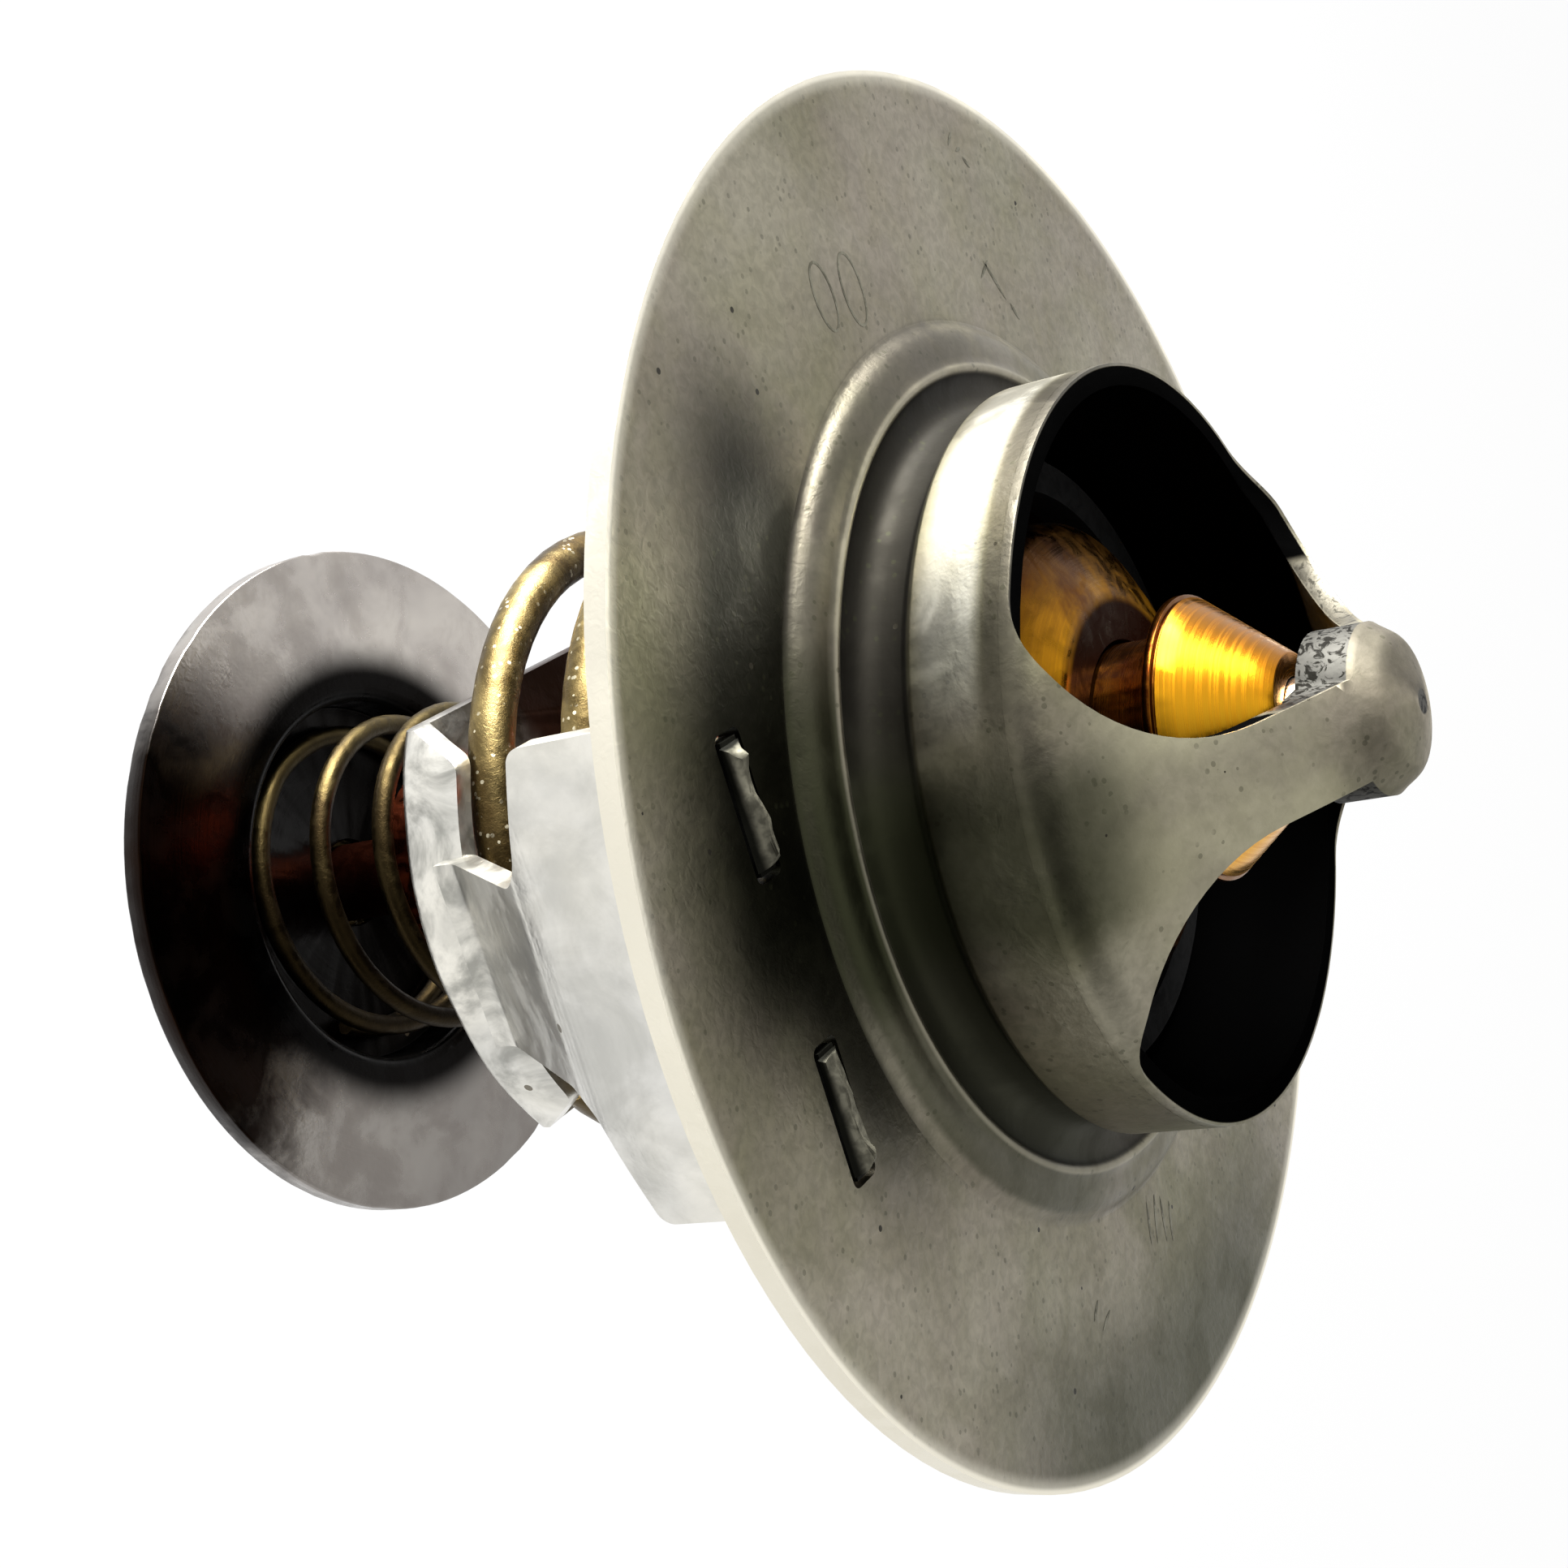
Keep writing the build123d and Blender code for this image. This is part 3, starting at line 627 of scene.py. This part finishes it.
def mergedCopy(name):
    size = {"merge": 0.002 * mm, "degenerate": 0.001 * mm}
    mesh = bmesh.new()
    mesh.from_mesh(nodes[name].data)
    bmesh.ops.remove_doubles(mesh, verts=mesh.verts, dist=size["merge"])
    bmesh.ops.dissolve_degenerate(mesh, edges=mesh.edges, dist=size["degenerate"])
    return mesh


# A solid's mesh with its sharp edges bevelled
def softenedCopy(cadName, name, body, edge, angle=40, shape=None):
    piece = newPiece(name)
    mesh = mergedCopy(cadName)
    if shape:
        shape(mesh)
    finishPiece(piece, mesh, finishOf[cadName], body)
    bevel = piece.modifiers.new("soft edges", "BEVEL")
    bevel.width = edge
    bevel.segments = 2
    bevel.limit_method = "ANGLE"
    bevel.angle_limit = math.radians(angle)
    bevel.harden_normals = True
    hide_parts(cadName)


def rollWindowEdges(mesh):
    size = {
        "roll": 0.42 * mm, "segments": 4, "flat": 0.4, "sharp": 50, "slope": 0.6, "cone": 20.5 * mm,
        "wall": 17.4 * mm, "low": 8.8 * mm, "nose": 4.6 * mm,
    }
    bmesh.ops.dissolve_limit(mesh, angle_limit=math.radians(size["flat"]), verts=mesh.verts, edges=mesh.edges)
    found = []
    for edge in mesh.edges:
        if len(edge.link_faces) != 2 or edge.calc_face_angle(0) < math.radians(size["sharp"]):
            continue
        middle = (edge.verts[0].co + edge.verts[1].co) / 2
        radius = radiusOf(middle)
        onSkin = middle.z + size["slope"] * radius > size["cone"] or radius > size["wall"]
        if middle.z > size["low"] and onSkin and radius > size["nose"]:
            found.append(edge)
    bmesh.ops.bevel(
        mesh, geom=found, offset=size["roll"], segments=size["segments"], profile=0.5, affect="EDGES",
        material=-1, clamp_overlap=True)
    print("window edges rolled:", len(found))


def clearBead(mesh):
    size = {
        "foot": 20.9 * mm, "cut": 8.8 * mm, "low": 0.99 * mm, "throat": 16.0 * mm, "snap": 0.0005 * mm,
        "outward": 0.3,
    }
    everything = list(mesh.verts) + list(mesh.edges) + list(mesh.faces)
    bmesh.ops.bisect_plane(
        mesh, geom=everything, dist=size["snap"], plane_co=(0, 0, size["cut"]), plane_no=(0, 0, 1))
    doomed = []
    for face in mesh.faces:
        middle = face.calc_center_median()
        corner = face.verts[0].co
        radii = [radiusOf(vert.co) for vert in face.verts]
        if size["low"] < middle.z < size["cut"] and size["throat"] < min(radii) and max(radii) < size["foot"]:
            outward = (face.normal.x * corner.x + face.normal.y * corner.y) / radii[0] + face.normal.z
            if outward > size["outward"]:
                doomed.append(face)
    bmesh.ops.delete(mesh, geom=doomed, context="FACES")
    print("bead faces cleared:", len(doomed))


def dressBridge(mesh):
    rollWindowEdges(mesh)
    clearBead(mesh)


def makeBead():
    size = {
        "profile": [
            (21.80, 0.97), (21.62, 1.02), (21.46, 1.12), (21.30, 1.28), (21.12, 1.46), (20.88, 1.63),
            (20.56, 1.76), (20.18, 1.85), (19.80, 1.90), (19.56, 1.95), (19.42, 2.03), (19.30, 2.12),
            (19.18, 2.15), (19.06, 2.12), (18.96, 2.04), (18.86, 1.94), (18.66, 1.86), (18.30, 1.84),
            (17.80, 1.90), (17.40, 2.08), (17.12, 2.42), (16.99, 2.90), (16.95, 3.40)],
        "neck": (16.95, 3.75), "dome": (17.70, 4.7), "wall": [(17.70, 5.8), (17.70, 7.3), (17.70, 8.8)],
        "steps": 12, "turns": 192, "merge": 0.001 * mm, "middle": 17 * mm,
    }
    piece = newPiece("beadAndNeck")
    mesh = bmesh.new()
    outline = list(size["profile"])
    for step in range(size["steps"] + 1):
        share = step / size["steps"]
        ease = share * share * (3 - 2 * share)
        radius = size["neck"][0] + (size["dome"][0] - size["neck"][0]) * ease
        outline.append((radius, size["neck"][1] + (size["dome"][1] - size["neck"][1]) * share))
    outline += size["wall"]
    points = [mesh.verts.new((radius * mm, 0, height * mm)) for radius, height in outline]
    edges = [mesh.edges.new(pair) for pair in zip(points, points[1:])]
    bmesh.ops.spin(
        mesh, geom=points + edges, cent=(0, 0, 0), axis=(0, 0, 1), angle=2 * math.pi, steps=size["turns"],
        use_merge=True)
    bmesh.ops.remove_doubles(mesh, verts=mesh.verts, dist=size["merge"])
    bmesh.ops.recalc_face_normals(mesh, faces=mesh.faces)
    outward = 0
    for face in mesh.faces:
        middle = face.calc_center_median()
        outward += face.normal.z + (face.normal.x * middle.x + face.normal.y * middle.y) / size["middle"]
    if outward < 0:
        bmesh.ops.reverse_faces(mesh, faces=mesh.faces)
    finishPiece(piece, mesh, stainless, "housing", smoothAngle=70)
    print("bead and neck turned")


def hammerTabs(mesh):
    size = {
        "cuts": 5, "amount": 0.32 * mm, "grain": 1000.0, "twist": 12.0, "foot": 0.97 * mm, "low": 1.02 * mm,
        "top": 1.0 * mm, "rise": 0.6 * mm, "x": 24.3 * mm, "y": 6.6 * mm, "thinX": 0.76, "thinY": 0.12,
    }
    heads = [edge for edge in mesh.edges if min(vert.co.z for vert in edge.verts) > size["foot"]]
    bmesh.ops.subdivide_edges(mesh, edges=heads, cuts=size["cuts"], use_grid_fill=True)
    for vert in mesh.verts:
        if vert.co.z > size["low"]:
            centre = Vector((math.copysign(size["x"], vert.co.x), math.copysign(size["y"], vert.co.y), 0))
            lift = (vert.co.z - size["top"]) / size["rise"]
            turn = Matrix.Rotation(math.radians(size["twist"]) * lift, 3, "Z")
            vert.co = centre + turn @ (vert.co - centre)
            vert.co.x = centre.x + (vert.co.x - centre.x) * (1 - size["thinX"] * lift)
            vert.co.y = centre.y + (vert.co.y - centre.y) * (1 - size["thinY"] * lift)
            vert.co += noise.noise_vector(vert.co * size["grain"]) * size["amount"] * lift


def wearLip(mesh):
    size = {"amount": 0.10 * mm, "grain": 260.0, "top": -19.5 * mm, "inner": 15 * mm}
    for vert in mesh.verts:
        if vert.co.z < size["top"] and radiusOf(vert.co) > size["inner"]:
            vert.co.z += noise.noise(vert.co * size["grain"]) * size["amount"]


def dressFrame(mesh):
    hammerTabs(mesh)
    wearLip(mesh)


def swellHead(mesh):
    size = {"low": -0.4 * mm, "inner": 8.5 * mm, "grow": 1.05}
    for vert in mesh.verts:
        if vert.co.z > size["low"] and radiusOf(vert.co) > size["inner"]:
            vert.co.x *= size["grow"]
            vert.co.y *= size["grow"]


def nickRim(mesh):
    size = {"amount": 0.12 * mm, "grain": 900.0, "cut": 0.25, "reach": 0.3, "inner": 18.5 * mm}
    for vert in mesh.verts:
        radius = radiusOf(vert.co)
        if radius > size["inner"]:
            dent = max(0.0, noise.noise(vert.co * size["grain"]) - size["cut"]) * size["amount"] / size["reach"]
            vert.co.x -= vert.co.x / radius * dent
            vert.co.y -= vert.co.y / radius * dent


softenedCopy(
    "flange_bridge", "flangeAndBridge", "housing", edge=0.2 * mm, angle=58, shape=dressBridge)
makeBead()
softenedCopy("lower_frame", "springFrame", "housing", edge=0.16 * mm, shape=dressFrame)
softenedCopy("bypass_disc", "bypassDisc", "bypass", edge=0.12 * mm, shape=nickRim)
softenedCopy("wax_cup", "waxCup", "element", edge=0.15 * mm, shape=swellHead)
softenedCopy("piston_guide", "pistonGuide", "element", edge=0.05 * mm)
print("pressed pieces softened")


# Each entry of turns is the first and last turn, and the heights there in millimetres
def makeSpring(name, size, material, body):
    piece = newPiece(name)
    mesh = bmesh.new()
    bmesh.ops.create_circle(mesh, segments=size["sides"], radius=size["wire"] / 2, cap_ends=True)
    firstTurn, firstHeight = size["turns"][0][0], size["turns"][0][2]
    turnAbout(mesh, mesh.verts, math.pi / 2, "X")
    bmesh.ops.translate(mesh, verts=mesh.verts, vec=(size["mean"], 0, firstHeight * mm))
    turnAbout(mesh, mesh.verts, 2 * math.pi * firstTurn, "Z")
    geometry = list(mesh.verts) + list(mesh.edges) + list(mesh.faces)
    for begin, end, low, high in size["turns"]:
        steps = max(2, round((end - begin) * size["stepsPerTurn"]))
        made = bmesh.ops.spin(
            mesh, geom=geometry, cent=(0, 0, 0), axis=(0, 0, 1), angle=2 * math.pi * (end - begin),
            dvec=(0, 0, (high * mm - low * mm) / steps), steps=steps, use_merge=False)
        geometry = made["geom_last"]
    bmesh.ops.remove_doubles(mesh, verts=mesh.verts, dist=0.001 * mm)
    bmesh.ops.recalc_face_normals(mesh, faces=mesh.faces)
    finishPiece(piece, mesh, material, body, smoothAngle=60)
    return piece


mainSize = {
    "wire": 2.25 * mm, "mean": 15.05 * mm, "sides": 20, "stepsPerTurn": 64,
    "turns": [(-0.90, -0.40, -21.875, -21.8), (-0.40, 3.29, -21.8, -0.98), (3.29, 3.85, -0.98, -0.925)],
}
mainSpring = makeSpring("mainCoil", mainSize, springSteel, "housing")
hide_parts("main_spring")
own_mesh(mainSpring)

bypassSize = {
    "wire": 1.12 * mm, "mean": 8.45 * mm, "sides": 16, "stepsPerTurn": 56,
    "turns": [(-0.85, -0.192, -42.54, -42.51), (-0.192, 3.14, -42.51, -27.57), (3.14, 3.80, -27.57, -27.56)],
}
bypassSpring = makeSpring("bypassCoil", bypassSize, thinSpringSteel, "element")
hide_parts("bypass_spring")
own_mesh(bypassSpring)
print("springs wound")


# Ovals are x, y, half length, half width and lean; strokes are x, y, length and lean
def addMarks():
    size = {
        "height": 1.012 * mm, "stroke": 0.14 * mm, "segments": 40, "bar": 1.3, "middle": 1.15,
        "ovals": [(6.6, -24.2, 1.5, 0.75, 8), (3.9, -24.1, 1.6, 0.8, 4)],
        "strokes": [
            (-10.7, -22.2, 2.6, -58), (-9.9, -22.9, 1.4, 30), (-12.0, -20.4, 1.1, -60), (1.7, 23.4, 2.2, 70),
            (0.9, 23.6, 2.4, 64), (0.1, 24.0, 2.3, 75), (-0.6, 24.5, 2.0, 68), (-10.1, -29.4, 0.9, 40),
            (-11.2, -28.1, 0.8, -50), (-10.7, -28.8, 0.6, 10), (8.6, 24.9, 1.3, 20), (9.3, 24.0, 1.1, 35)],
    }
    piece = newPiece("flangeMarks")
    mesh = bmesh.new()
    for x, y, long, wide, lean in size["ovals"]:
        loop = bmesh.ops.create_circle(mesh, segments=size["segments"], radius=1.0)["verts"]
        edges = list({edge for vert in loop for edge in vert.link_edges})
        grown = bmesh.ops.extrude_edge_only(mesh, edges=edges)["geom"]
        outer = [item for item in grown if isinstance(item, bmesh.types.BMVert)]
        for ring, grow in ((loop, 0), (outer, size["stroke"])):
            bmesh.ops.scale(mesh, verts=ring, vec=(wide * mm + grow, long * mm + grow, 1))
            turnAbout(mesh, ring, math.radians(lean), "Z")
            bmesh.ops.translate(mesh, verts=ring, vec=(x * mm, y * mm, size["height"]))
    for x, y, long, lean in size["strokes"]:
        bar = bmesh.ops.create_grid(mesh, x_segments=6, y_segments=1, size=0.5)["verts"]
        bmesh.ops.scale(mesh, verts=bar, vec=(long * mm, size["stroke"] * size["bar"], 1))
        for vert in bar:
            vert.co.y *= size["middle"] - (2 * vert.co.x / (long * mm)) ** 2
        turnAbout(mesh, bar, math.radians(lean), "Z")
        bmesh.ops.translate(mesh, verts=bar, vec=(x * mm, y * mm, size["height"]))
    bmesh.ops.recalc_face_normals(mesh, faces=mesh.faces)
    for face in mesh.faces:
        if face.normal.z < 0:
            face.normal_flip()
    finishPiece(piece, mesh, markSteel, "housing")


addMarks()
print("flange marked")


# One where a ray comes from the camera, a reflection or a clear piece, zero for light that falls
def seenRays(path):
    seen = maths("MAXIMUM", path.outputs["Is Camera Ray"], path.outputs["Is Glossy Ray"])
    return maths("MAXIMUM", seen, path.outputs["Is Transmission Ray"])


def makeStage():
    size = {"floorHeight": -0.11, "floorReach": 3.0, "glow": 0.95}
    piece = newPiece("paleFloor")
    mesh = bmesh.new()
    bmesh.ops.create_grid(mesh, x_segments=1, y_segments=1, size=size["floorReach"])
    bmesh.ops.translate(mesh, verts=mesh.verts, vec=(0, 0, size["floorHeight"]))
    mesh.to_mesh(piece.data)
    mesh.free()
    material, tree, shader = newFinish("paleFloorPaint", metallic=0.0, roughness=0.9)
    shader.inputs["Base Color"].default_value = (0.9, 0.9, 0.9, 1)
    shader.inputs["Specular IOR Level"].default_value = 0.0
    path = tree.nodes.new("ShaderNodeLightPath")
    glow = tree.nodes.new("ShaderNodeEmission")
    glow.inputs["Color"].default_value = (1, 1, 1, 1)
    mix = tree.nodes.new("ShaderNodeMixShader")
    feed(times(seenRays(path), size["glow"]), mix.inputs[0])
    feed(shader.outputs[0], mix.inputs[1])
    feed(glow.outputs[0], mix.inputs[2])
    feed(mix.outputs[0], tree.nodes["Material Output"].inputs["Surface"])
    piece.data.materials.append(material)


def makeWorld():
    size = {"heading": (0.93, 0.16, 0.33), "dim": (0.35, 1.0), "dimShare": 0.85, "level": (0, 1, 0.45, 1.0)}
    world = bpy.data.worlds.new("softStudio")
    bpy.context.scene.world = world
    world.use_nodes = True
    tree = world.node_tree
    back = tree.nodes["Background"]
    back.inputs["Color"].default_value = (1, 1, 1, 1)
    path = tree.nodes.new("ShaderNodeLightPath")
    way = tree.nodes.new("ShaderNodeTexCoord")
    spot = addNode(tree, "ShaderNodeVectorMath", {"operation": "DOT_PRODUCT"})
    spot.inputs[1].default_value = Vector(size["heading"]).normalized()
    feed(way.outputs["Generated"], spot.inputs[0])
    dim = span(spot.outputs["Value"], *size["dim"])  # the unlit side of the room, behind the camera
    lit = span(seenRays(path), *size["level"])
    level = maths("SUBTRACT", lit, times(dim, size["dimShare"]), clamp=True)
    feed(maths("MAXIMUM", level, path.outputs["Is Camera Ray"]), back.inputs["Strength"])


def addLamp(name, direction, distance, width, power):
    light = bpy.data.lights.new(name, "AREA")
    light.shape = "DISK"
    light.size = width
    light.energy = power
    lamp = bpy.data.objects.new(name, light)
    bpy.context.scene.collection.objects.link(lamp)
    way = Vector(direction).normalized()
    lamp.matrix_world = Matrix.Translation(way * distance) @ way.to_track_quat("Z", "Y").to_matrix().to_4x4()


def makeCamera():
    size = {
        "sensor": 36.0, "focalPixels": 3011.8, "framePixels": 1932, "near": 0.005, "far": 20.0,
        "right": (-0.46973, 0.29252, 0.83294), "up": (-0.32298, -0.93504, 0.14624),
        "place": (0.10211, -0.02620, 0.05345),
    }
    camera = bpy.data.objects.new("camera", bpy.data.cameras.new("camera"))
    bpy.context.scene.collection.objects.link(camera)
    camera.data.sensor_width = size["sensor"]
    camera.data.lens = size["focalPixels"] / size["framePixels"] * size["sensor"]
    camera.data.clip_start = size["near"]
    camera.data.clip_end = size["far"]
    right = Vector(size["right"])
    up = Vector(size["up"])
    turn = Matrix((right, up, right.cross(up))).transposed().to_4x4()
    camera.matrix_world = Matrix.Translation(size["place"]) @ turn
    bpy.context.scene.camera = camera


makeStage()
makeWorld()
addLamp("keyLamp", (-0.16, -0.93, 0.20), distance=0.40, width=0.34, power=11.0)
addLamp("sideLamp", (0.85, 0.22, -0.45), distance=0.45, width=0.28, power=1.8)
addLamp("rimLamp", (0.60, -0.62, -0.50), distance=0.45, width=0.24, power=1.4)
makeCamera()
bpy.context.scene.view_settings.view_transform = "Standard"
print("studio set")

bpy.context.view_layer.update()
